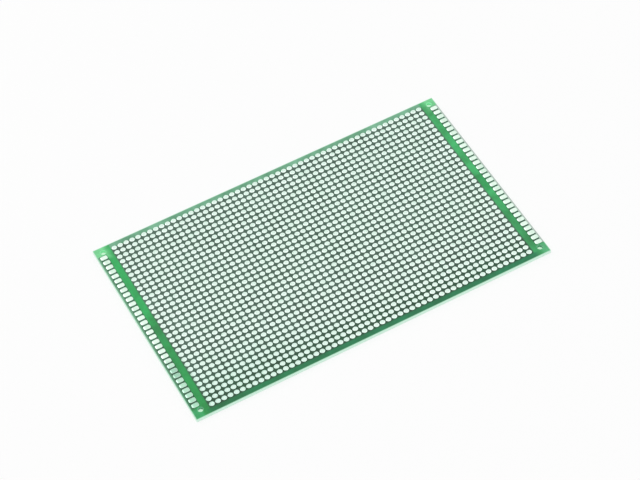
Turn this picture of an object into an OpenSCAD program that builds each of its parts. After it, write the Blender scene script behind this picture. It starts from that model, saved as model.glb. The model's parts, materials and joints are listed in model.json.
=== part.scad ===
// Double-sided prototyping board: a rigid glass-epoxy laminate with a green
// solder mask on each face, a grid of plated-through holes with round pads, a
// line of oblong pads along each short end and a plain fixing hole in each corner.
// X runs along the board and Y across it. The origin is at the middle of the
// underside, so the board lies on the plane Z = 0. The holes and pads are laid out
// about their own middle, which the sawn outline misses by a fraction of a
// millimetre, as on a real board.

/* [Board] */
// Length of the board, along X
board_length = 150; // [100:1:160]
// Width of the board, along Y
board_width = 90; // [50:1:100]
// Thickness of the finished board, from pad face to pad face
board_thickness = 1.6; // [0.8:0.1:3.2]
// Shift of every hole and pad from the middle of the board, along X
layout_shift_x = 0.25; // [-0.5:0.05:0.5]
// Shift of every hole and pad from the middle of the board, along Y
layout_shift_y = 0.45; // [-0.5:0.05:0.5]

/* [Solder mask] */
// Thickness of the mask on each face
mask_thickness = 0.03; // [0.02:0.01:0.05]
// Bare laminate left between the mask and each pad or fixing hole
mask_clearance = 0.05; // [0.02:0.01:0.1]

/* [Plated holes] */
// Spacing of the hole grid, a tenth of an inch
pitch = 2.54; // [2.5:0.01:5.08]
// Least distance from a short end to the nearest hole centres, before the shift
end_margin = 7.5; // [7:0.5:20]
// Least distance from a long side to the nearest hole centres, before the shift
side_margin = 3; // [2.5:0.5:15]
// Bore of a plated hole
hole_diameter = 1; // [0.6:0.05:1.2]
// Thickness of the plating on the wall of a hole
plating_wall = 0.05; // [0.03:0.01:0.1]
// Diameter of the round pad at each mouth of a hole
pad_diameter = 1.9; // [1.6:0.05:2.1]
// Height of every pad above the laminate
pad_thickness = 0.07; // [0.05:0.01:0.1]
// Width of the sloping rim of a round pad
pad_bevel = 0.05; // [0.02:0.01:0.1]

/* [Edge pads] */
// Length of an edge pad, along X
edge_pad_length = 2.6; // [2:0.1:3.8]
// Width of an edge pad, along Y
edge_pad_width = 1.7; // [1.2:0.1:2]
// Radius of the corners of an edge pad
edge_pad_corner = 0.5; // [0.1:0.05:0.5]
// Distance from a short end to the edge pads, before the shift
edge_pad_gap = 0.85; // [0.65:0.05:1]

/* [Fixing holes] */
// Diameter of the plain hole in each corner
fixing_hole_diameter = 2.2; // [1.5:0.1:3.2]
// Distance from two board edges to the centre of a fixing hole, before the shift
fixing_hole_inset = 3; // [2.5:0.1:4]
// Least bare laminate between a fixing hole and an edge pad
fixing_hole_land = 0.5; // [0.2:0.1:1]

/* [Hidden] */
round_facets = 32;

columns = floor((board_length - 2 * end_margin) / pitch) + 1;
rows = floor((board_width - 2 * side_margin) / pitch) + 1;
function column_x(column) = (column - (columns - 1) / 2) * pitch;
function row_y(row) = (row - (rows - 1) / 2) * pitch;
layout_shift = [layout_shift_x, layout_shift_y];

hole_radius = hole_diameter / 2;
drill_radius = hole_radius + plating_wall;
pad_radius = pad_diameter / 2;

laminate_bottom = pad_thickness;
laminate_top = board_thickness - pad_thickness;

fixing_hole_radius = fixing_hole_diameter / 2;
fixing_hole_x = board_length / 2 - fixing_hole_inset;
fixing_hole_y = board_width / 2 - fixing_hole_inset;

// An edge pad stands beside each row of holes that keeps clear of the fixing holes.
edge_pad_x = board_length / 2 - edge_pad_gap - edge_pad_length / 2;
edge_pad_reach = fixing_hole_y - fixing_hole_radius - fixing_hole_land - edge_pad_width / 2;
edge_pad_rows = [for (row = [0 : rows - 1]) if (abs(row_y(row)) <= edge_pad_reach) row];

ROW_NODES = [for (row = [1 : rows]) str("plated_row_", row < 10 ? "0" : "", row)];

module at_grid() {
    for (column = [0 : columns - 1], row = [0 : rows - 1])
        translate(layout_shift + [column_x(column), row_y(row)]) children();
}

module at_fixing_holes() {
    for (end = [-1, 1], side = [-1, 1])
        translate(layout_shift + [end * fixing_hole_x, side * fixing_hole_y]) children();
}

// Places of the edge pads at one end: -1 is the left end and 1 the right.
module at_edge_pads(end) {
    for (row = edge_pad_rows)
        translate(layout_shift + [end * edge_pad_x, row_y(row)]) children();
}

module board_outline() {
    square([board_length, board_width], center = true);
}

// Rectangle with round corners, grown by margin on every side.
module edge_pad_outline(margin = 0) {
    corner = edge_pad_corner + margin;
    inner_length = edge_pad_length - 2 * edge_pad_corner;
    inner_width = edge_pad_width - 2 * edge_pad_corner;
    square([inner_length, inner_width + 2 * corner], center = true);
    square([inner_length + 2 * corner, inner_width], center = true);
    for (x = [-1, 1], y = [-1, 1])
        translate([x * inner_length / 2, y * inner_width / 2])
            circle(r = corner, $fn = round_facets);
}

// Glass-epoxy sheet, drilled for every plated hole and fixing hole.
module laminate() {
    color("#e3efdd")
        translate([0, 0, laminate_bottom])
            linear_extrude(height = laminate_top - laminate_bottom)
                difference() {
                    board_outline();
                    at_grid() circle(r = drill_radius, $fn = round_facets);
                    at_fixing_holes() circle(r = fixing_hole_radius, $fn = round_facets);
                }
}

// One coat of solder mask, with a window for every pad and fixing hole.
module solder_mask(bottom) {
    color("#45a065")
        translate([0, 0, bottom])
            linear_extrude(height = mask_thickness)
                difference() {
                    board_outline();
                    at_grid() circle(r = pad_radius + mask_clearance, $fn = round_facets);
                    at_fixing_holes()
                        circle(r = fixing_hole_radius + mask_clearance, $fn = round_facets);
                    for (end = [-1, 1])
                        at_edge_pads(end) edge_pad_outline(mask_clearance);
                }
}

// A plated barrel with a round pad at each mouth, turned about the hole's axis.
module plated_hole() {
    rotate_extrude($fn = round_facets)
        polygon([
            [hole_radius, 0],
            [pad_radius - pad_bevel, 0],
            [pad_radius, laminate_bottom],
            [drill_radius, laminate_bottom],
            [drill_radius, laminate_top],
            [pad_radius, laminate_top],
            [pad_radius - pad_bevel, board_thickness],
            [hole_radius, board_thickness]
        ]);
}

// All the plated holes of one row, counted from the -Y side.
module plated_row(row) {
    color("#e6eee9")
        for (column = [0 : columns - 1])
            translate(layout_shift + [column_x(column), row_y(row)]) plated_hole();
}

// The oblong pads at one end, on the face whose pads start at the height bottom.
module edge_pads(end, bottom) {
    color("#e6eee9")
        translate([0, 0, bottom])
            at_edge_pads(end)
                linear_extrude(height = pad_thickness) edge_pad_outline();
}

laminate();
solder_mask(laminate_top);  // solder_mask_top
solder_mask(laminate_bottom - mask_thickness);  // solder_mask_bottom
edge_pads(-1, laminate_top);  // edge_pads_left_top
edge_pads(-1, 0);  // edge_pads_left_bottom
edge_pads(1, laminate_top);  // edge_pads_right_top
edge_pads(1, 0);  // edge_pads_right_bottom
for (row = [0 : rows - 1])
    plated_row(row);
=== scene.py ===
"""Dresses a bare prototyping circuit board: laminate, solder masks, tinned holes and edge pads."""

import json
import math

import bpy
import numpy as np
from bpy.props import FloatProperty, FloatVectorProperty, PointerProperty
from mathutils import Matrix, Vector


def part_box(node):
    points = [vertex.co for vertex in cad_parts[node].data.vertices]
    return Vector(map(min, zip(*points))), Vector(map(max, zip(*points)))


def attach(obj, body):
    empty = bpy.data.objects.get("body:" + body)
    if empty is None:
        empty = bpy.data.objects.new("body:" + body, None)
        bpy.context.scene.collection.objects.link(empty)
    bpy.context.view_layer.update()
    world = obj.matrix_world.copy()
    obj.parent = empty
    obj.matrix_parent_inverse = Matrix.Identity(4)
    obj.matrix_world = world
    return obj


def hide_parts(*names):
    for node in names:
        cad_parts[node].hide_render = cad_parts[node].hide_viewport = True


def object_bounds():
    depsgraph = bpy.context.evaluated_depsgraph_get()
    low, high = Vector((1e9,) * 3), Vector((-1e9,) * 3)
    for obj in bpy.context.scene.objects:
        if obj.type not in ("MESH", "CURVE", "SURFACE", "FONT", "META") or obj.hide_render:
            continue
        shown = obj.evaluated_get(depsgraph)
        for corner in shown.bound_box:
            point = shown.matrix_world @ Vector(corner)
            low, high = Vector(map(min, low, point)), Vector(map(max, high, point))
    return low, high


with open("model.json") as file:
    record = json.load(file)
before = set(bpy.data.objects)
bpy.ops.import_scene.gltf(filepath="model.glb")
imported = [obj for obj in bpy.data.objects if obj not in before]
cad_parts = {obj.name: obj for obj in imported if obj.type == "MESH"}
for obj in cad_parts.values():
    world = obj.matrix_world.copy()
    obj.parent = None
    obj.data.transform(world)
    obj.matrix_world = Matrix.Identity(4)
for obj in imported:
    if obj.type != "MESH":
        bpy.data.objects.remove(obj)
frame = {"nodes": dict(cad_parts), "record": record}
CAD_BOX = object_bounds()

bl_info = {
    "name": "Prototyping Board",
    "version": (1, 0, 0),
    "blender": (4, 5, 0),
    "location": "View3D > Sidebar > Board",
    "description": "Dresses a bare circuit board in glass-epoxy, solder mask and tin",
    "category": "Add Mesh",
}

# ---------------------------------------------------------------------------
# Sizes from the frame, in metres
# ---------------------------------------------------------------------------

MM = 0.001


def box_of(node):
    """Lowest and highest corner of a node, as arrays."""
    low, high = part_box(node)
    return np.array(low), np.array(high)


MOUNTS = {mount["name"]: mount for mount in frame["record"]["mounts"]}
ROW_NODES = sorted(name for name in frame["nodes"] if name.startswith("plated_row_"))
EDGE_PAD_NODES = sorted(name for name in frame["nodes"] if name.startswith("edge_pads_"))

BOARD_LOW, BOARD_HIGH = (np.array(corner) for corner in CAD_BOX)
LAMINATE_LOW, LAMINATE_HIGH = box_of("laminate")

# The holes and pads are laid out about this point, which the sawn outline misses a little.
# Every X and Y below is measured from it.
LAYOUT = np.array(MOUNTS["lead_grid"]["pos_m"][:2])

ROW_BOXES = [box_of(name) for name in ROW_NODES]
ROW_Y = np.array([(low[1] + high[1]) / 2 for low, high in ROW_BOXES]) - LAYOUT[1]
PITCH = (ROW_Y[-1] - ROW_Y[0]) / (len(ROW_Y) - 1)
ROW_LENGTH = ROW_BOXES[0][1][0] - ROW_BOXES[0][0][0]
PAD_RADIUS = (ROW_BOXES[0][1][1] - ROW_BOXES[0][0][1]) / 2
HOLE_RADIUS = MOUNTS["lead_grid"]["dims"]["hole_r_mm"] * MM
COLUMNS = round((ROW_LENGTH - 2 * PAD_RADIUS) / PITCH) + 1
COLUMN_X = (np.arange(COLUMNS) - (COLUMNS - 1) / 2) * PITCH

EDGE_PAD_LOW, EDGE_PAD_HIGH = box_of("edge_pads_right_top")
EDGE_PAD_X = (EDGE_PAD_LOW[0] + EDGE_PAD_HIGH[0]) / 2 - LAYOUT[0]
EDGE_PAD_LENGTH = EDGE_PAD_HIGH[0] - EDGE_PAD_LOW[0]
# The edge pads of one end reach over a whole number of pitches and the width of one pad.
EDGE_PAD_WIDTH = (EDGE_PAD_HIGH[1] - EDGE_PAD_LOW[1]) % PITCH
EDGE_PAD_Y = ROW_Y[np.abs(ROW_Y) < EDGE_PAD_HIGH[1] - LAYOUT[1]]

FIXING_X = MOUNTS["corner_holes"]["dims"]["spacing_x_mm"] / 2 * MM
FIXING_Y = MOUNTS["corner_holes"]["dims"]["spacing_y_mm"] / 2 * MM
FIXING_RADIUS = MOUNTS["corner_holes"]["dims"]["hole_r_mm"] * MM

# The grid of holes fills this rectangle, half a pitch past the outer holes.
FIELD_X = COLUMN_X[-1] + PITCH / 2
FIELD_Y = ROW_Y[-1] + PITCH / 2
# Distances to the board's edges, by the side of the layout's middle that they lie on.
END_X = {-1: LAYOUT[0] - BOARD_LOW[0], 1: BOARD_HIGH[0] - LAYOUT[0]}
SIDE_Y = {-1: LAYOUT[1] - BOARD_LOW[1], 1: BOARD_HIGH[1] - LAYOUT[1]}


# ---------------------------------------------------------------------------
# Colours and settings
# ---------------------------------------------------------------------------


def linear(code):
    """An sRGB hex colour as linear red, green, blue and full alpha."""
    parts = [int(code[i:i + 2], 16) / 255 for i in (1, 3, 5)]
    return tuple(c / 12.92 if c <= 0.04045 else ((c + 0.055) / 1.055) ** 2.4 for c in parts) + (1.0,)


def colour_property(name, code, description):
    """A colour setting with its default from an sRGB hex code."""
    return FloatVectorProperty(
        name=name, description=description, default=linear(code), size=4, min=0, max=1, subtype="COLOR"
    )


def length_property(name, default, description):
    """A length setting, stored in metres."""
    return FloatProperty(
        name=name, description=description, default=default, min=0, precision=5, unit="LENGTH"
    )


class BoardSizes(bpy.types.PropertyGroup):
    """Sizes of the thin coats that are made here."""

    mask_clearance: length_property(
        "Mask clearance", 0.09 * MM, "Bare laminate between the solder mask and each pad"
    )
    edge_pad_corner: length_property(
        "Edge pad corner", 0.5 * MM, "Radius of the corners of an edge pad"
    )
    plating_wall: length_property(
        "Plating wall", 0.05 * MM, "Thickness of the plating on the wall of a hole"
    )
    tin_spread: length_property(
        "Tin spread", 0.03 * MM, "How far the tin runs out past the copper of a round pad"
    )
    tin_stretch: FloatProperty(
        name="Tin stretch",
        description="Share by which a round pad is longer along X and shorter along Y",
        default=0.045, min=0, max=0.06, precision=3,
    )
    tin_rim: length_property(
        "Tin rim", 0.1 * MM, "Width over which the tin rises from the laminate to a pad's crown"
    )
    tin_dip: length_property(
        "Tin dip", 0.012 * MM, "Drop of the tin from a pad's crown to its hole or its shoulder"
    )
    pad_shoulder: length_property(
        "Pad shoulder", 0.4 * MM, "From the side of an edge pad to the flat of its top"
    )
    least_corner: length_property(
        "Least corner", 0.1 * MM, "Smallest radius of the corners of that flat"
    )


class BoardColours(bpy.types.PropertyGroup):
    """Colours of the three finishes."""

    laminate: colour_property("Laminate", "#D3F8E4", "Sawn edge of the glass-epoxy laminate")
    laminate_glass: colour_property("Glass ply", "#E2FCEE", "Cut glass threads in the sawn edge")
    glow_front: colour_property("Front hole glow", "#80C8A0", "Walls of the two front corner holes")
    glow_back: colour_property("Back hole glow", "#ACFFCB", "Walls of the two back corner holes")
    mask_open: colour_property(
        "Open mask", "#20B25A", "Solder mask over the bare strip at the left end"
    )
    mask_open_right: colour_property(
        "Open mask, right", "#3ABC6B", "Solder mask over the strip at the right end"
    )
    mask_copper: colour_property(
        "Mask near copper", "#4A6959", "Solder mask between the pads of the grid"
    )
    # Painted shade: the mask between the frontmost pads is darker.
    copper_front_shade: colour_property("Front rows", "#185A38", "Solder mask between the frontmost pads")
    mask_ends: colour_property("Mask at the ends", "#2E6E4C", "Solder mask between the edge pads")
    mask_rim: colour_property("Mask rim", "#6FA884", "Solder mask outside the edge pads")
    rim_bared: colour_property(
        "Bared rim", "#B4C4BA", "Laminate bared by the saw along the right end"
    )
    # The colour along the front edge is painted shade.
    mask_front_shade: colour_property(
        "Front mask", "#0E965F", "Solder mask along the front edge, where it is thick"
    )
    # The colour along the back edge is painted light.
    mask_back_light: colour_property(
        "Back mask", "#78B793", "Solder mask along the back edge, where it is thin"
    )
    # The four corners are lighter, a painted glow.
    corner_front_glow: colour_property(
        "Front corners", "#68DC96", "Solder mask at the two front corners"
    )
    corner_back_glow: colour_property("Back corners", "#82E49E", "Solder mask at the two back corners")
    mask_mark: colour_property(
        "Strip mark", "#22A556", "Slightly thicker mask half way along each end strip"
    )
    mask_flow: colour_property(
        "Thick ink", "#BCD0C5", "Darkening of the solder mask where it lies thicker"
    )
    mask_shade: colour_property(
        "Front shade", "#DCDCDC", "Darkening of the solder mask towards the front edge"
    )
    # Painted shade near the front left corner.
    mask_front_left_shade: colour_property(
        "Mask tint", "#A6F8DC", "Tint of the solder mask near the front left corner"
    )
    mask_edge: colour_property(
        "Sawn mask", "#A2DDB8", "Solder mask at the board's sawn edges, lit from the side"
    )
    # Painted shade of the tin near the front left corner.
    tin_front_left_shade: colour_property("Tin tint", "#DDF2E9", "Tint of the tin near the front left corner")
    tin_edge: colour_property("Edge pad tint", "#FAFFF8", "Tint of the tin on the edge pads")
    # The edge pads near the front left corner are darker, and a few of them darkest.
    tin_darker_front_left: colour_property(
        "Dull tin", "#DAEFE0", "Tint of the edge pads near the front left corner"
    )
    tin_darkest_front_left: colour_property("Dullest tin", "#BBDAC8", "Tint of the dullest of those edge pads")
    tin: colour_property("Tin", "#F0FFF8", "Bright hot-dipped tin")
    tin_shade: colour_property("Tin shade", "#D6EEE0", "Slightly duller patches in the tin")
    # The tin on the wall of a hole is a little darker than on the pads: painted shade inside the hole.
    tin_barrel: colour_property("Tin in the holes", "#E8FAF0", "Tin on the wall of a hole")


class StageSettings(bpy.types.PropertyGroup):
    """Camera, floor and lamps."""

    azimuth: FloatProperty(
        name="Azimuth", description="Direction of the camera round the board",
        default=math.radians(-23.68), subtype="ANGLE",
    )
    elevation: FloatProperty(
        name="Elevation", description="Height of the camera above the board's plane",
        default=math.radians(51.78), subtype="ANGLE",
    )
    roll: FloatProperty(
        name="Roll", description="Turn of the camera about its own axis",
        default=math.radians(-5.91), subtype="ANGLE",
    )
    distance: FloatProperty(
        name="Distance", description="From the camera to the point that it looks at",
        default=0.8821, unit="LENGTH",
    )
    aim_x: FloatProperty(
        name="Aim X", description="Point on the board's upper face that the camera looks at, along X",
        default=0.00247, unit="LENGTH",
    )
    aim_y: FloatProperty(
        name="Aim Y", description="Point on the board's upper face that the camera looks at, along Y",
        default=0.00456, unit="LENGTH",
    )
    lens: FloatProperty(
        name="Focal length", description="Focal length in millimetres, on a sensor 36 mm wide",
        default=129.9,
    )
    sky: FloatProperty(
        name="Sky", description="Strength of the light from all round", default=0.8, min=0,
    )
    key: FloatProperty(
        name="Key light", description="Soft lamp behind the board, in watts",
        default=5.5, min=0,
    )
    fill: FloatProperty(
        name="Fill light", description="Soft lamp in front of the board, in watts",
        default=3.0, min=0,
    )
    softbox: FloatProperty(
        name="Softbox", description="Side of each square lamp", default=1.5, min=0, unit="LENGTH",
    )
    floor: colour_property("Floor", "#FAFAFA", "Matt white table")
    floor_lit: colour_property(
        "Lit floor", "#D0FFDC", "Table inside the corner holes, lit through the laminate"
    )


# ---------------------------------------------------------------------------
# Surfaces worked out as arrays
# ---------------------------------------------------------------------------

# A square cell of the mask has a side point every 22.5 degrees, seen from its centre.
CELL_STEP = math.tan(math.pi / 8)
# Edges sharper than these stay sharp, on the mask and on the tin.
MASK_CREASE = math.radians(40)
TIN_CREASE = math.radians(33)
# Points on one knot of a grid this fine are one point: a hundredth of a micrometre.
WELD = 1e-8
# Marks are rounded to this many decimals of a metre, so that equal ones are found.
MARK_DECIMALS = 9


def carried(loops):
    """A profile carried round closed loops: points and quads.

    loops has the shape (copies, levels, steps, 3), each loop anticlockwise from above. Quad k between two
    levels joins points k and k + 1 of the first level to points k + 1 and k of the next, so its outward
    side is the loop's direction crossed with the profile's: the profile climbs on an outside wall, runs
    inwards on an upper face and goes down in a hole.
    """
    copies, levels, steps, _ = loops.shape
    index = np.arange(copies * levels * steps).reshape(copies, levels, steps)
    ahead = np.roll(index, -1, axis=2)
    quads = np.stack([index[:, :-1], ahead[:, :-1], ahead[:, 1:], index[:, 1:]], axis=-1)
    return loops.reshape(-1, 3), quads.reshape(-1, 4)


def level(outline, height):
    """Lifts flat loops of the shape (copies, steps, 2) to one height."""
    return np.concatenate([outline, np.full(outline.shape[:-1] + (1,), height)], axis=-1)


def joined(parts):
    """Several (points, quads) as one, with each part's quads counted on from the points before it."""
    starts = np.cumsum([0] + [len(points) for points, _ in parts[:-1]])
    points = np.concatenate([points for points, _ in parts])
    return points, np.concatenate([quads + start for (_, quads), start in zip(parts, starts)])


def welded(points, quads):
    """Points that round to the same knot of the weld's grid become one."""
    grid = np.round(points / WELD).astype(np.int64)
    _, first, place = np.unique(grid, axis=0, return_index=True, return_inverse=True)
    return points[first], place.reshape(-1)[quads]


def marks_of(low, high):
    """Five marks from low to high: the ends, the middle and one cell step either side of the middle."""
    return (low + high) / 2 + (high - low) / 2 * np.array([-1, -CELL_STEP, 0, CELL_STEP, 1])


def rectangle_loop(bottom, right, top, left):
    """Points round a rectangle, anticlockwise from its lower left corner, at each side's rising marks."""
    return np.concatenate([
        np.column_stack([bottom[:-1], np.full(len(bottom) - 1, right[0])]),
        np.column_stack([np.full(len(right) - 1, bottom[-1]), right[:-1]]),
        np.column_stack([top[:0:-1], np.full(len(top) - 1, right[-1])]),
        np.column_stack([np.full(len(left) - 1, bottom[0]), left[:0:-1]]),
    ])


def rounded_rectangle(length, width, corner):
    """Sixteen points round a rectangle with round corners, anticlockwise from the lower left corner.

    Each is its corner's centre plus the radius times the cosine and sine of an angle. A corner has four
    angles, 30 degrees apart.
    """
    angles = math.pi + np.repeat(np.arange(4), 4) * math.pi / 2 + np.tile(np.arange(4), 4) * math.pi / 6
    corners = np.repeat(np.array([[-1, -1], [1, -1], [1, 1], [-1, 1]]), 4, axis=0)
    centres = corners * np.array([length / 2 - corner, width / 2 - corner])
    return centres + corner * np.column_stack([np.cos(angles), np.sin(angles)])


def mirrored(outline, x, y):
    """Flat loops mirrored to the side of the board that x and y name, still anticlockwise."""
    flipped = outline * np.array([x, y])
    return flipped if x * y > 0 else flipped[..., ::-1, :]


def field_cells(clearance, stretch):
    """Outer and window loops of the square cells round the plated holes.

    A window point is the cell's own side point drawn in towards the centre, to the pad's radius and the
    clearance, then longer along X by the stretch and shorter along Y by as much.
    """
    marks = marks_of(-PITCH / 2, PITCH / 2)
    square = rectangle_loop(marks, marks, marks, marks)
    window = (PAD_RADIUS + clearance) * square / np.linalg.norm(square, axis=1, keepdims=True)
    window = window * np.array([1 + stretch, 1 - stretch])
    centres = np.stack(np.meshgrid(COLUMN_X, ROW_Y), axis=-1).reshape(-1, 1, 2)
    return centres + square, centres + window


def end_marks(clearance, x):
    """Marks across an end strip: its ends, and the ends and the middle of the edge pads' windows."""
    reach = EDGE_PAD_LENGTH / 2 + clearance
    return np.array([FIELD_X, EDGE_PAD_X - reach, EDGE_PAD_X, EDGE_PAD_X + reach, END_X[x]])


def end_cells(clearance, corner, x):
    """Outer and window loops of the cells round the edge pads of the end that x names, -1 or 1."""
    across = end_marks(clearance, x)
    along = marks_of(-PITCH / 2, PITCH / 2)
    cell = np.roll(rectangle_loop(across, along, across, along), 1, axis=0)
    window = rounded_rectangle(
        EDGE_PAD_LENGTH + 2 * clearance, EDGE_PAD_WIDTH + 2 * clearance, corner + clearance
    )
    centres = np.column_stack([np.zeros(len(EDGE_PAD_Y)), EDGE_PAD_Y])[:, None]
    return mirrored(centres + cell, x, 1), mirrored(centres + window + np.array([EDGE_PAD_X, 0]), x, 1)


def corner_cell(clearance, x, y):
    """Outer and window loop of the cell round the fixing hole at the corner that x and y name.

    The window is a circle of even steps, turned by the mean lead of the outer points' directions over the
    steps, so that the quads between the two loops twist as little as they can.
    """
    low = EDGE_PAD_Y[-1] + PITCH / 2
    last_row = marks_of(low, low + PITCH)
    # Marks beside the hole keep the quads round it even.
    below, beside = 0.6 * FIXING_RADIUS, 1.2 * FIXING_RADIUS
    outer = rectangle_loop(
        end_marks(clearance, x),
        np.array([low, FIXING_Y - below, FIXING_Y, FIXING_Y + FIXING_RADIUS, SIDE_Y[y]]),
        np.array([FIELD_X, FIXING_X - beside, FIXING_X + beside, END_X[x]]),
        np.append(last_row, SIDE_Y[y]),
    )
    centre = np.array([FIXING_X, FIXING_Y])
    steps = np.arange(len(outer)) * 2 * math.pi / len(outer)
    directions = np.unwrap(np.arctan2(*(outer - centre).T[::-1]))
    angles = steps + np.mean(directions - steps)
    window = centre + (FIXING_RADIUS + clearance) * np.column_stack([np.cos(angles), np.sin(angles)])
    return mirrored(outer[None], x, y), mirrored(window[None], x, y)


def side_strip(y, low, high):
    """Upper and lower quads of the plain strip from the field to a long edge, from mark to mark."""
    marks = np.concatenate([marks_of(x - PITCH / 2, x + PITCH / 2) for x in COLUMN_X])
    marks = np.unique(np.round(marks, MARK_DECIMALS))
    inner, outer = sorted([y * FIELD_Y, y * SIDE_Y[y]])
    left, right = marks[:-1], marks[1:]
    across = np.stack([left, right, right, left], axis=1)
    flat = np.stack([across, np.broadcast_to([inner, inner, outer, outer], across.shape)], axis=-1)
    points = np.concatenate([level(flat, high), level(flat[:, ::-1], low)]).reshape(-1, 3)
    return points, np.arange(len(points)).reshape(-1, 4)


def rim_wall(points, low, high):
    """Outer wall of a plate: its outline points in order of direction, carried up from low to high."""
    edges = [(0, x * END_X[x]) for x in (-1, 1)] + [(1, y * SIDE_Y[y]) for y in (-1, 1)]
    on_edge = np.any([np.isclose(points[:, axis], place, atol=WELD) for axis, place in edges], axis=0)
    outline = np.unique(np.round(points[on_edge, :2], MARK_DECIMALS), axis=0)
    outline = outline[np.argsort(np.arctan2(outline[:, 1], outline[:, 0]))][None]
    return carried(np.stack([level(outline, low), level(outline, high)], axis=1))


def mask_plate(low, high, clearance, corner, stretch):
    """A coat of solder mask, closed all round, with a window for every pad and fixing hole."""
    cells = [field_cells(clearance, stretch)]
    cells += [end_cells(clearance, corner, x) for x in (-1, 1)]
    cells += [corner_cell(clearance, x, y) for x in (-1, 1) for y in (-1, 1)]
    parts = []
    for outer, window in cells:
        loops = [level(outer, high), level(window, high), level(window, low), level(outer, low)]
        parts.append(carried(np.stack(loops, axis=1)))
    parts += [side_strip(y, low, high) for y in (-1, 1)]
    parts.append(rim_wall(joined(parts)[0], low, high))
    points, quads = welded(*joined(parts))
    return points + np.append(LAYOUT, 0), quads


def turned(profile, centres, sides):
    """A profile of (radius along X, radius along Y, height) turned about an upright axis at each centre.

    A point is the centre plus the radii times the cosine and sine of its angle, at the profile's height.
    The radii are grown a little, so that each polygon has the area of its ellipse.
    """
    step = 2 * math.pi / sides
    angles = (np.arange(sides) + 0.5) * step
    circle = np.column_stack([np.cos(angles), np.sin(angles), np.zeros(sides)])
    circle = math.sqrt(step / math.sin(step)) * circle
    radii = np.column_stack([profile[:, :2], np.zeros(len(profile))])
    rings = radii[:, None] * circle + profile[:, 2][:, None, None] * np.array([0, 0, 1])
    return np.column_stack([centres, np.zeros(len(centres))])[:, None, None] + rings


def make_piece(name, points, faces, crease):
    """A mesh object from arrays of points and of faces, smooth but for edges sharper than the crease."""
    mesh = bpy.data.meshes.new(name)
    corners = np.concatenate([group.reshape(-1) for group in faces])
    sizes = np.concatenate([np.full(len(group), group.shape[1]) for group in faces])
    mesh.vertices.add(len(points))
    mesh.vertices.foreach_set("co", points.astype(np.float32).reshape(-1))
    mesh.loops.add(len(corners))
    mesh.loops.foreach_set("vertex_index", corners.astype(np.int32))
    mesh.polygons.add(len(sizes))
    mesh.polygons.foreach_set("loop_start", (np.cumsum(sizes) - sizes).astype(np.int32))
    mesh.polygons.foreach_set("use_smooth", np.ones(len(sizes), bool))
    mesh.update(calc_edges=True)
    mesh.validate()
    mesh.set_sharp_from_angle(angle=crease)
    piece = bpy.data.objects.new(name, mesh)
    bpy.context.scene.collection.objects.link(piece)
    return piece


def fit(piece, material, node):
    """Gives a new piece its material and its place in the frame, in the stead of a node."""
    piece.data.materials.append(material)
    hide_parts(node)
    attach(piece, "root")


# ---------------------------------------------------------------------------
# Materials
# ---------------------------------------------------------------------------

TIN = "tin_hot_air_levelled"
WHITE = (1.0, 1.0, 1.0, 1.0)


def emptied(owner):
    """The node tree of a new material or world, with nothing in it."""
    owner.use_nodes = True
    owner.node_tree.nodes.clear()
    return owner.node_tree


def add_node(tree, kind, settings=(), values=(), links=()):
    """Adds a node with its settings, its socket values and the sockets that feed it."""
    node = tree.nodes.new(kind)
    for name, value in dict(settings).items():
        setattr(node, name, value)
    for name, value in dict(values).items():
        node.inputs[name].default_value = value
    for name, socket in dict(links).items():
        tree.links.new(socket, node.inputs[name])
    return node


def from_layout(tree, place, x=0.0):
    """Separate X, Y and Z of a point, measured from this X of the layout at half the board's height."""
    middle = (BOARD_LOW[2] + BOARD_HIGH[2]) / 2
    centred = add_node(
        tree, "ShaderNodeMapping", values={"Location": (-LAYOUT[0] - x, -LAYOUT[1], -middle)},
        links={"Vector": place.outputs["Object"]},
    )
    return add_node(tree, "ShaderNodeSeparateXYZ", links={"Vector": centred.outputs["Vector"]})


def outside(tree, axes, x, y):
    """A factor that is 0 where the size of X and the value of Y lie in their ranges, and 1 outside.

    A range gives its low and high end and the width of the rise past them. The factor is the larger of the
    two coordinates' ramps, each by how far it is from its range's middle.
    """
    size = add_node(tree, "ShaderNodeMath", {"operation": "ABSOLUTE"}, links={0: axes.outputs["X"]})
    ramps = []
    for value, (low, high, width) in ((size.outputs[0], x), (axes.outputs["Y"], y)):
        off = add_node(tree, "ShaderNodeMath", {"operation": "SUBTRACT"}, {1: (low + high) / 2}, {0: value})
        away = add_node(tree, "ShaderNodeMath", {"operation": "ABSOLUTE"}, links={0: off.outputs[0]})
        half = (high - low) / 2
        ramps.append(add_node(
            tree, "ShaderNodeMapRange", {"interpolation_type": "SMOOTHSTEP"},
            {"From Min": half, "From Max": half + width}, {"Value": away.outputs[0]},
        ))
    return add_node(
        tree, "ShaderNodeMath", {"operation": "MAXIMUM"},
        links={0: ramps[0].outputs["Result"], 1: ramps[1].outputs["Result"]},
    ).outputs[0]


def layered(tree, axes, base, regions):
    """Lays flat colours over a base, which is a colour or a socket.

    Each colour fills its ranges of the size of X and of Y, fades out past them, and lies over those before
    it.
    """
    for colour, x, y in regions:
        values, links = {6: colour}, {0: outside(tree, axes, x, y)}
        if isinstance(base, bpy.types.NodeSocket):
            links[7] = base
        else:
            values[7] = base
        base = add_node(tree, "ShaderNodeMix", {"data_type": "RGBA"}, values, links).outputs[2]
    return base


def corner_holes(colours, reach, fade):
    """Regions over the two front and the two back corner holes, this far about their centres."""
    return [
        (colour, (FIXING_X - reach, FIXING_X + reach, fade), (y - reach, y + reach, fade))
        for colour, y in zip(colours, (-FIXING_Y, FIXING_Y))
    ]


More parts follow.
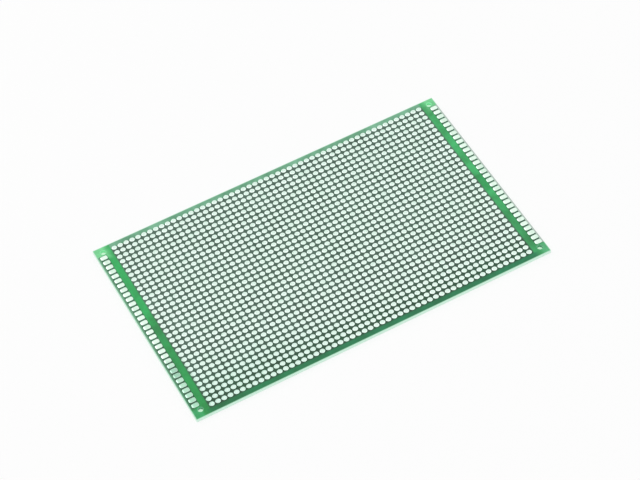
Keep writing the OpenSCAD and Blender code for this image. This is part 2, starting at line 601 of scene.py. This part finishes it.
def front_left(tree, place):
    """A factor for painted shade, falling from 1 at the front left corner to 0 along a quarter ellipse."""
    corner = (BOARD_LOW[0], BOARD_LOW[1], 0)
    reaches = (78 * MM, 30 * MM, 1)
    reach = add_node(
        tree, "ShaderNodeMapping", {"vector_type": "TEXTURE"},
        {"Location": corner, "Scale": reaches}, {"Vector": place.outputs["Object"]},
    )
    return add_node(
        tree, "ShaderNodeTexGradient", {"gradient_type": "SPHERICAL"},
        links={"Vector": reach.outputs["Vector"]},
    ).outputs["Fac"]


def laminate_material(colours):
    """FR-4, woven glass cloth in epoxy, pressed in plies and sawn: matt, pale and banded."""
    material = bpy.data.materials.new("fr4_glass_epoxy_sawn")
    tree = emptied(material)
    place = add_node(tree, "ShaderNodeTexCoord")
    # Plies of cloth about 0.18 mm thick show as pale bands about 2 mm long, broken by the cut ends of
    # threads half a millimetre apart.
    stretch = add_node(
        tree, "ShaderNodeMapping", values={"Scale": (0.35, 0.35, 4.0)},
        links={"Vector": place.outputs["Object"]},
    )
    plies = add_node(
        tree, "ShaderNodeTexNoise", values={"Scale": 1400, "Detail": 3, "Roughness": 0.6},
        links={"Vector": stretch.outputs["Vector"]},
    )
    bands = add_node(
        tree, "ShaderNodeMapRange", values={"From Min": 0.42, "From Max": 0.62},
        links={"Value": plies.outputs["Fac"]},
    )
    tone = add_node(
        tree, "ShaderNodeMix", {"data_type": "RGBA"}, {6: colours.laminate, 7: colours.laminate_glass},
        {0: bands.outputs["Result"]},
    )
    # The walls of the corner holes: light that the laminate carries makes them glow.
    lit = layered(
        tree, from_layout(tree, place), tone.outputs[2],
        corner_holes((colours.glow_front, colours.glow_back), FIXING_RADIUS + 0.1 * MM, 0.1 * MM),
    )
    bump = add_node(
        tree, "ShaderNodeBump", values={"Strength": 0.35, "Distance": 0.04 * MM},
        links={"Height": plies.outputs["Fac"]},
    )
    shader = add_node(
        tree, "ShaderNodeBsdfPrincipled", values={"Roughness": 0.65, "IOR": 1.55},
        links={"Base Color": lit, "Normal": bump.outputs["Normal"]},
    )
    add_node(tree, "ShaderNodeOutputMaterial", links={"Surface": shader.outputs[0]})
    return material


def mask_material(colours):
    """Solder mask, a green epoxy ink screened on and cured: smooth, semi-gloss and a little see-through.

    Light that the pale laminate carries makes it glow in the open strips and most of all in the corners.
    Near the pads the copper on both faces keeps that light out, so it looks dark. This glow and this dark
    are painted into the colour, and so are a painted shade along the front edge and a painted light along
    the back one.
    """
    material = bpy.data.materials.new("solder_mask_screened_epoxy")
    tree = emptied(material)
    place = add_node(tree, "ShaderNodeTexCoord")
    axes = from_layout(tree, place)
    # The ink lies a little thicker here and there, in patches half a millimetre to 8 mm across.
    flow = add_node(
        tree, "ShaderNodeTexNoise", values={"Scale": 134, "Detail": 4, "Roughness": 0.65},
        links={"Vector": place.outputs["Object"]},
    )
    depth = add_node(
        tree, "ShaderNodeMapRange", values={"From Min": 0.35, "From Max": 0.65},
        links={"Value": flow.outputs["Fac"]},
    )
    ends = add_node(
        tree, "ShaderNodeMapRange", values={"From Min": -FIELD_X, "From Max": FIELD_X},
        links={"Value": axes.outputs["X"]},
    )
    open_mask = add_node(
        tree, "ShaderNodeMix", {"data_type": "RGBA"}, {6: colours.mask_open, 7: colours.mask_open_right},
        {0: ends.outputs["Result"]},
    )
    # The regions, from the lowest to the uppermost: corners with a painted glow, a mark in each end strip,
    # the field of pads with the painted shade of its front rows, the long margins, painted shade in front
    # and painted light at the back, the rims outside the edge pads and the gaps between those.
    field_x, field_y, near = COLUMN_X[-1] + PAD_RADIUS, ROW_Y[-1] + PAD_RADIUS, 0.8 * MM
    margin_y = ROW_Y[-1] + near
    pads_x, pads_y = EDGE_PAD_X - EDGE_PAD_LENGTH / 2, EDGE_PAD_Y[-1] + EDGE_PAD_WIDTH / 2
    rim_x, end_x = EDGE_PAD_X + EDGE_PAD_LENGTH / 2, END_X[-1]
    corner_y = FIXING_Y - FIXING_RADIUS
    field, pads = (0, field_x, near), (-pads_y, pads_y, 0.4 * MM)
    tone = layered(tree, axes, open_mask.outputs[2], (
        (colours.corner_front_glow, (FIXING_X + near, end_x, 2 * MM), (-SIDE_Y[-1], -FIXING_Y, 2 * MM)),
        (colours.corner_back_glow, (pads_x + near, end_x, 4 * MM), (corner_y, SIDE_Y[1], 4 * MM)),
        (colours.mask_mark, (field_x, pads_x, 1.5 * MM), (-3 * PITCH, 0, 1.5 * MM)),
        (colours.mask_copper, field, (-ROW_Y[-1], ROW_Y[-1], near)),
        (colours.copper_front_shade, field, (-SIDE_Y[-1], -ROW_Y[-1], 15 * MM)),
        (colours.mask_front_shade, (0, field_x, 3 * MM), (-SIDE_Y[-1], -field_y - near, near)),
        (colours.mask_back_light, field, (margin_y, SIDE_Y[1], near)),
        (colours.mask_rim, (rim_x, end_x, 0.4 * MM), pads),
        (colours.mask_ends, (pads_x, rim_x, 0.4 * MM), pads),
    ))
    # The ink's own unevenness, the painted shade over the front half and the painted shade at the front
    # left corner multiply that.
    shade = add_node(
        tree, "ShaderNodeMapRange", {"interpolation_type": "SMOOTHSTEP"},
        {"From Min": -field_y, "From Max": 0, "To Min": 1, "To Max": 0}, {"Value": axes.outputs["Y"]},
    )
    for colour, factor in (
        (colours.mask_flow, depth.outputs["Result"]),
        (colours.mask_shade, shade.outputs["Result"]),
        (colours.mask_front_left_shade, front_left(tree, place)),
    ):
        tone = add_node(
            tree, "ShaderNodeMix", {"data_type": "RGBA", "blend_type": "MULTIPLY"}, {7: colour},
            {0: factor, 6: tone},
        ).outputs[2]
    # Light from the sawn edges comes up through the last 0.4 mm of the ink.
    from_middle = add_node(tree, "ShaderNodeSeparateXYZ", links={"Vector": place.outputs["Object"]})
    glow = 0.4 * MM
    sawn = outside(
        tree, from_middle, (0, BOARD_HIGH[0] - glow, glow),
        (BOARD_LOW[1] + glow, BOARD_HIGH[1] - glow, glow),
    )
    tone = add_node(
        tree, "ShaderNodeMix", {"data_type": "RGBA"}, {7: colours.mask_edge}, {0: sawn, 6: tone}
    ).outputs[2]
    # The saw has bared the laminate along the right end, beside the edge pads.
    tone = layered(tree, from_layout(tree, place, END_X[1]), tone, (
        (colours.rim_bared, (0, END_X[1] - rim_x, 0.2 * MM), pads),
    ))
    # The weave of the glass cloth, threads about 0.45 mm apart, telegraphs through as a faint unevenness.
    weave = add_node(
        tree, "ShaderNodeTexVoronoi", {"feature": "SMOOTH_F1"},
        {"Scale": 2200, "Randomness": 0.35, "Smoothness": 0.6}, {"Vector": place.outputs["Object"]},
    )
    bump = add_node(
        tree, "ShaderNodeBump", values={"Strength": 0.12, "Distance": 0.02 * MM},
        links={"Height": weave.outputs["Distance"]},
    )
    gloss = add_node(
        tree, "ShaderNodeMapRange", values={"To Min": 0.28, "To Max": 0.42},
        links={"Value": flow.outputs["Fac"]},
    )
    shader = add_node(
        tree, "ShaderNodeBsdfPrincipled", values={"IOR": 1.5},
        links={
            "Base Color": tone, "Normal": bump.outputs["Normal"], "Roughness": gloss.outputs["Result"],
        },
    )
    add_node(tree, "ShaderNodeOutputMaterial", links={"Surface": shader.outputs[0]})
    return material


def tin_material(colours):
    """Tin on copper, hot-dipped and levelled with hot air.

    It is bright, pooled a little unevenly on each pad, and smoother on the walls of the holes.
    """
    material = bpy.data.materials.new(TIN)
    tree = emptied(material)
    place = add_node(tree, "ShaderNodeTexCoord")
    axes = from_layout(tree, place)
    # Each pad, about 2 mm across, froze on its own, so the sheen changes from pad to pad.
    pools = add_node(
        tree, "ShaderNodeTexNoise", values={"Scale": 420, "Detail": 3, "Roughness": 0.55},
        links={"Vector": place.outputs["Object"]},
    )
    patch = add_node(
        tree, "ShaderNodeMapRange", values={"From Min": 0.45, "From Max": 0.75},
        links={"Value": pools.outputs["Fac"]},
    )
    tone = add_node(
        tree, "ShaderNodeMix", {"data_type": "RGBA"}, {6: colours.tin, 7: colours.tin_shade},
        {0: patch.outputs["Result"]},
    )
    # The edge pads are a little greener, and those near the front left corner are darker.
    reach = (0, EDGE_PAD_X - FIELD_X, 1 * MM)
    tint = layered(tree, axes, WHITE, (
        (colours.tin_edge, (FIELD_X, END_X[-1], 0.5 * MM), (-SIDE_Y[-1], SIDE_Y[1], 1 * MM)),
    ))
    tint = layered(tree, from_layout(tree, place, -EDGE_PAD_X), tint, (
        (colours.tin_darker_front_left, reach, (-SIDE_Y[-1], -19 * MM, 5 * MM)),
        (colours.tin_darkest_front_left, reach, (-24 * MM, -21.5 * MM, 3 * MM)),
    ))
    # Painted shade towards the front left corner.
    tone = add_node(
        tree, "ShaderNodeMix", {"data_type": "RGBA", "blend_type": "MULTIPLY"}, {7: colours.tin_front_left_shade},
        {0: front_left(tree, place), 6: tone.outputs[2]},
    )
    tone = add_node(
        tree, "ShaderNodeMix", {"data_type": "RGBA", "blend_type": "MULTIPLY"}, {0: 1.0},
        {6: tone.outputs[2], 7: tint},
    )
    dullness = add_node(
        tree, "ShaderNodeMapRange",
        values={"From Min": 0.3, "From Max": 0.75, "To Min": 0.05, "To Max": 0.16},
        links={"Value": pools.outputs["Fac"]},
    )
    # 0 inside the laminate's thickness, on the wall of a hole, and 1 on the pads of both faces.
    rise = add_node(tree, "ShaderNodeMath", {"operation": "ABSOLUTE"}, links={0: axes.outputs["Z"]})
    inner = (LAMINATE_HIGH[2] - LAMINATE_LOW[2]) / 2
    outer = (BOARD_HIGH[2] - BOARD_LOW[2]) / 2
    on_pad = add_node(
        tree, "ShaderNodeMapRange", values={"From Min": inner, "From Max": (inner + outer) / 2},
        links={"Value": rise.outputs[0]},
    )
    # The darker tin on the walls of the holes is painted shade inside the hole.
    tone = add_node(
        tree, "ShaderNodeMix", {"data_type": "RGBA"}, {6: colours.tin_barrel},
        {0: on_pad.outputs["Result"], 7: tone.outputs[2]},
    )
    roughness = add_node(
        tree, "ShaderNodeMapRange", values={"To Min": 0.1},
        links={"Value": on_pad.outputs["Result"], "To Max": dullness.outputs["Result"]},
    )
    bump = add_node(
        tree, "ShaderNodeBump", values={"Strength": 0.5, "Distance": 0.03 * MM},
        links={"Height": pools.outputs["Fac"]},
    )
    shader = add_node(
        tree, "ShaderNodeBsdfPrincipled", values={"Metallic": 1.0},
        links={
            "Base Color": tone.outputs[2], "Roughness": roughness.outputs["Result"],
            "Normal": bump.outputs["Normal"],
        },
    )
    add_node(tree, "ShaderNodeOutputMaterial", links={"Surface": shader.outputs[0]})
    return material


def plainly_seen(tree, share):
    """A factor that is this share on what the camera sees and 1 on what gloss and clear glass see."""
    path = add_node(tree, "ShaderNodeLightPath")
    mirrored_too = add_node(
        tree, "ShaderNodeMath", {"operation": "ADD"},
        links={0: path.outputs["Is Glossy Ray"], 1: path.outputs["Is Transmission Ray"]},
    )
    return add_node(
        tree, "ShaderNodeMath", {"operation": "MULTIPLY_ADD", "use_clamp": True}, {1: share},
        {0: path.outputs["Is Camera Ray"], 2: mirrored_too.outputs[0]},
    ).outputs[0]


def floor_material(colour, lit):
    """Matt white painted board: plain white to the camera and in reflections, with a soft shadow."""
    material = bpy.data.materials.new("matt_white_paint")
    tree = emptied(material)
    place = add_node(tree, "ShaderNodeTexCoord")
    # The roller left a texture about 1 mm across.
    grain = add_node(
        tree, "ShaderNodeTexNoise", values={"Scale": 900, "Detail": 2},
        links={"Vector": place.outputs["Object"]},
    )
    bump = add_node(
        tree, "ShaderNodeBump", values={"Strength": 0.05, "Distance": 0.05 * MM},
        links={"Height": grain.outputs["Fac"]},
    )
    shader = add_node(
        tree, "ShaderNodeBsdfPrincipled", values={"Base Color": colour, "Roughness": 0.9},
        links={"Normal": bump.outputs["Normal"]},
    )
    # Inside the corner holes the floor takes the green of the light that comes through the laminate.
    holes = corner_holes((lit, lit), FIXING_RADIUS, 0.1 * MM)
    tone = layered(tree, from_layout(tree, place), WHITE, holes)
    plain = add_node(tree, "ShaderNodeEmission", values={"Strength": 1.0}, links={"Color": tone})
    blend = add_node(
        tree, "ShaderNodeMixShader",
        links={0: plainly_seen(tree, 0.75), 1: shader.outputs[0], 2: plain.outputs[0]},
    )
    add_node(tree, "ShaderNodeOutputMaterial", links={"Surface": blend.outputs[0]})
    return material


def studio_world(strength):
    """A plain white studio: it lights the board with this strength and is plain white to look at."""
    world = bpy.data.worlds.new("studio")
    tree = emptied(world)
    brightness = add_node(
        tree, "ShaderNodeMapRange", values={"To Min": strength, "To Max": 1.0},
        links={"Value": plainly_seen(tree, 1.0)},
    )
    sky = add_node(
        tree, "ShaderNodeBackground", values={"Color": WHITE},
        links={"Strength": brightness.outputs["Result"]},
    )
    add_node(tree, "ShaderNodeOutputWorld", links={"Surface": sky.outputs[0]})
    return world


# ---------------------------------------------------------------------------
# Operators
# ---------------------------------------------------------------------------


class BOARD_OT_laminate(bpy.types.Operator):
    """Finish the drilled glass-epoxy laminate"""

    bl_idname = "prototyping_board.laminate"
    bl_label = "Laminate"

    def execute(self, context):
        laminate = frame["nodes"]["laminate"]
        material = laminate_material(context.scene.board_colours)
        laminate.data.materials.clear()
        laminate.data.materials.append(material)
        return {"FINISHED"}


class BOARD_OT_solder_masks(bpy.types.Operator):
    """Make the coats of solder mask on both faces, with their windows"""

    bl_idname = "prototyping_board.solder_masks"
    bl_label = "Solder masks"

    def execute(self, context):
        sizes = context.scene.board_sizes
        material = mask_material(context.scene.board_colours)
        for face in ("top", "bottom"):
            node = f"solder_mask_{face}"
            low, high = box_of(node)
            points, quads = mask_plate(
                low[2], high[2], sizes.mask_clearance, sizes.edge_pad_corner, sizes.tin_stretch
            )
            coat = make_piece(f"mask_coat_{face}", points, [quads], MASK_CREASE)
            fit(coat, material, node)
        return {"FINISHED"}


class BOARD_OT_tinned_holes(bpy.types.Operator):
    """Make the tinned pads and barrels of the hole grid, one piece for each row"""

    bl_idname = "prototyping_board.tinned_holes"
    bl_label = "Tinned holes"

    # Steps round each hole: few, because there are hundreds of holes.
    sides = 12

    def execute(self, context):
        sizes = context.scene.board_sizes
        material = bpy.data.materials[TIN]
        foot = PAD_RADIUS + sizes.tin_spread
        crown = foot - sizes.tin_rim
        drilled = HOLE_RADIUS + sizes.plating_wall
        top, bottom = BOARD_HIGH[2], BOARD_LOW[2]
        profile = np.array([
            [foot, LAMINATE_HIGH[2]],
            [crown, top],
            [HOLE_RADIUS, top - sizes.tin_dip],
            [HOLE_RADIUS, bottom + sizes.tin_dip],
            [crown, bottom],
            [foot, LAMINATE_LOW[2]],
            [drilled, LAMINATE_LOW[2]],
            [drilled, LAMINATE_HIGH[2]],
            [foot, LAMINATE_HIGH[2]],
        ])
        # The hot air drew the tin out along X on the pads, and left the barrels round.
        stretch = sizes.tin_stretch * np.isin(profile[:, 0], (foot, crown))
        radii = profile[:, :1] * np.column_stack([1 + stretch, 1 - stretch])
        profile = np.column_stack([radii, profile[:, 1]])
        for node, y in zip(ROW_NODES, ROW_Y):
            centres = LAYOUT + np.column_stack([COLUMN_X, np.full(COLUMNS, y)])
            points, quads = welded(*carried(turned(profile, centres, self.sides)))
            row = make_piece(node.replace("plated", "tinned"), points, [quads], TIN_CREASE)
            fit(row, material, node)
        return {"FINISHED"}


class BOARD_OT_edge_pads(bpy.types.Operator):
    """Make the tinned oblong pads at both ends of both faces"""

    bl_idname = "prototyping_board.edge_pads"
    bl_label = "Edge pads"

    def execute(self, context):
        sizes = context.scene.board_sizes
        material = bpy.data.materials[TIN]
        for node in EDGE_PAD_NODES:
            low, high = box_of(node)
            rise = 1 if "top" in node else -1
            foot, crown = (low[2], high[2]) if rise > 0 else (high[2], low[2])
            x = (low[0] + high[0]) / 2
            places = np.column_stack([np.full(len(EDGE_PAD_Y), x), LAYOUT[1] + EDGE_PAD_Y])
            # The foot, the shoulder and the edge of the flat top, by their inset and height.
            steps = (
                (0, foot),
                (sizes.tin_rim, crown - rise * sizes.tin_dip),
                (sizes.pad_shoulder, crown),
            )
            rings = []
            for inset, height in steps:
                ring = rounded_rectangle(
                    EDGE_PAD_LENGTH - 2 * inset, EDGE_PAD_WIDTH - 2 * inset,
                    max(sizes.edge_pad_corner - inset, sizes.least_corner),
                )
                rings.append(level(places[:, None] + ring, height))
            loops = np.stack(rings if rise > 0 else rings[::-1], axis=1)
            points, quads = carried(loops)
            index = np.arange(len(points)).reshape(loops.shape[:3])
            caps = np.concatenate([index[:, -1], index[:, 0, ::-1]])
            name = node.replace("edge_pads", "tinned_pads")
            pads = make_piece(name, points, [quads, caps], TIN_CREASE)
            fit(pads, material, node)
        return {"FINISHED"}


class BOARD_OT_tin(bpy.types.Operator):
    """Mix the tin that the holes and the edge pads share"""

    bl_idname = "prototyping_board.tin"
    bl_label = "Tin"

    def execute(self, context):
        tin_material(context.scene.board_colours)
        return {"FINISHED"}


# The width of the camera's sensor, in millimetres, for which the focal length is given.
SENSOR_MM = 36


def add_lamp(name, power, size, place):
    """A square soft lamp at a place, turned to face the middle of the board's underside."""
    lamp = bpy.data.lights.new(name, "AREA")
    lamp.energy = power
    lamp.size = size
    holder = bpy.data.objects.new(name, lamp)
    turn = Vector(place).to_track_quat("Z", "Y").to_matrix().to_4x4()
    holder.matrix_world = Matrix.Translation(place) @ turn
    bpy.context.scene.collection.objects.link(holder)


class BOARD_OT_stage(bpy.types.Operator):
    """Lay the floor, hang the lamps and set up the camera"""

    bl_idname = "prototyping_board.stage"
    bl_label = "Stage"

    def execute(self, context):
        scene, stage = context.scene, context.scene.board_stage
        # The floor lies a hair below the board, so that no two faces share one plane.
        reach, hair = 20.0, 0.02 * MM
        square = np.array([[-1, -1], [1, -1], [1, 1], [-1, 1]]) * reach
        points = level(square, -hair)
        floor = make_piece("floor", points, [np.array([[0, 1, 2, 3]])], math.pi)
        floor.data.materials.append(floor_material(stage.floor, stage.floor_lit))

        scene.world = studio_world(stage.sky)
        # One lamp hangs behind the board on its left, the other in front of it on its right.
        add_lamp("key_softbox", stage.key, stage.softbox, (-0.7, 0.9, 1.2))
        add_lamp("fill_softbox", stage.fill, stage.softbox, (1.0, -0.9, 1.1))

        azimuth, elevation, roll = stage.azimuth, stage.elevation, stage.roll
        back = Vector((
            math.sin(azimuth) * math.cos(elevation),
            -math.cos(azimuth) * math.cos(elevation),
            math.sin(elevation),
        ))
        level_right = Vector((math.cos(azimuth), math.sin(azimuth), 0))
        level_up = back.cross(level_right)
        right = math.cos(roll) * level_right + math.sin(roll) * level_up
        up = back.cross(right)
        aim = Vector((stage.aim_x, stage.aim_y, BOARD_HIGH[2]))
        turn = Matrix((right, up, back)).transposed().to_4x4()
        lens = bpy.data.cameras.new("camera")
        lens.lens = stage.lens
        lens.sensor_width = SENSOR_MM
        lens.clip_start = 0.01
        lens.clip_end = 100
        camera = bpy.data.objects.new("camera", lens)
        camera.matrix_world = Matrix.Translation(aim + stage.distance * back) @ turn
        scene.collection.objects.link(camera)
        scene.camera = camera
        scene.view_settings.view_transform = "Standard"
        return {"FINISHED"}


class BOARD_PT_panel(bpy.types.Panel):
    """Makers and settings of the board"""

    bl_label = "Prototyping Board"
    bl_idname = "BOARD_PT_panel"
    bl_space_type = "VIEW_3D"
    bl_region_type = "UI"
    bl_category = "Board"

    def draw(self, context):
        for group in (context.scene.board_sizes, context.scene.board_colours, context.scene.board_stage):
            column = self.layout.column(align=True)
            for name in group.__annotations__:
                column.prop(group, name)
        for operator in OPERATORS:
            self.layout.operator(operator.bl_idname)


GROUPS = {"board_sizes": BoardSizes, "board_colours": BoardColours, "board_stage": StageSettings}
OPERATORS = (
    BOARD_OT_tin,
    BOARD_OT_laminate,
    BOARD_OT_solder_masks,
    BOARD_OT_tinned_holes,
    BOARD_OT_edge_pads,
    BOARD_OT_stage,
)


def register():
    """Makes the classes and their settings known to Blender."""
    for cls in (*GROUPS.values(), *OPERATORS, BOARD_PT_panel):
        bpy.utils.register_class(cls)
    for name, group in GROUPS.items():
        setattr(bpy.types.Scene, name, PointerProperty(type=group))


def unregister():
    """Takes the settings and the classes out again."""
    for name in GROUPS:
        delattr(bpy.types.Scene, name)
    for cls in reversed((*GROUPS.values(), *OPERATORS, BOARD_PT_panel)):
        bpy.utils.unregister_class(cls)


def main():
    """Makes every piece and the stage."""
    register()
    bpy.ops.prototyping_board.tin()
    bpy.ops.prototyping_board.laminate()
    bpy.ops.prototyping_board.solder_masks()
    bpy.ops.prototyping_board.tinned_holes()
    bpy.ops.prototyping_board.edge_pads()
    bpy.ops.prototyping_board.stage()


if __name__ == "__main__":
    main()
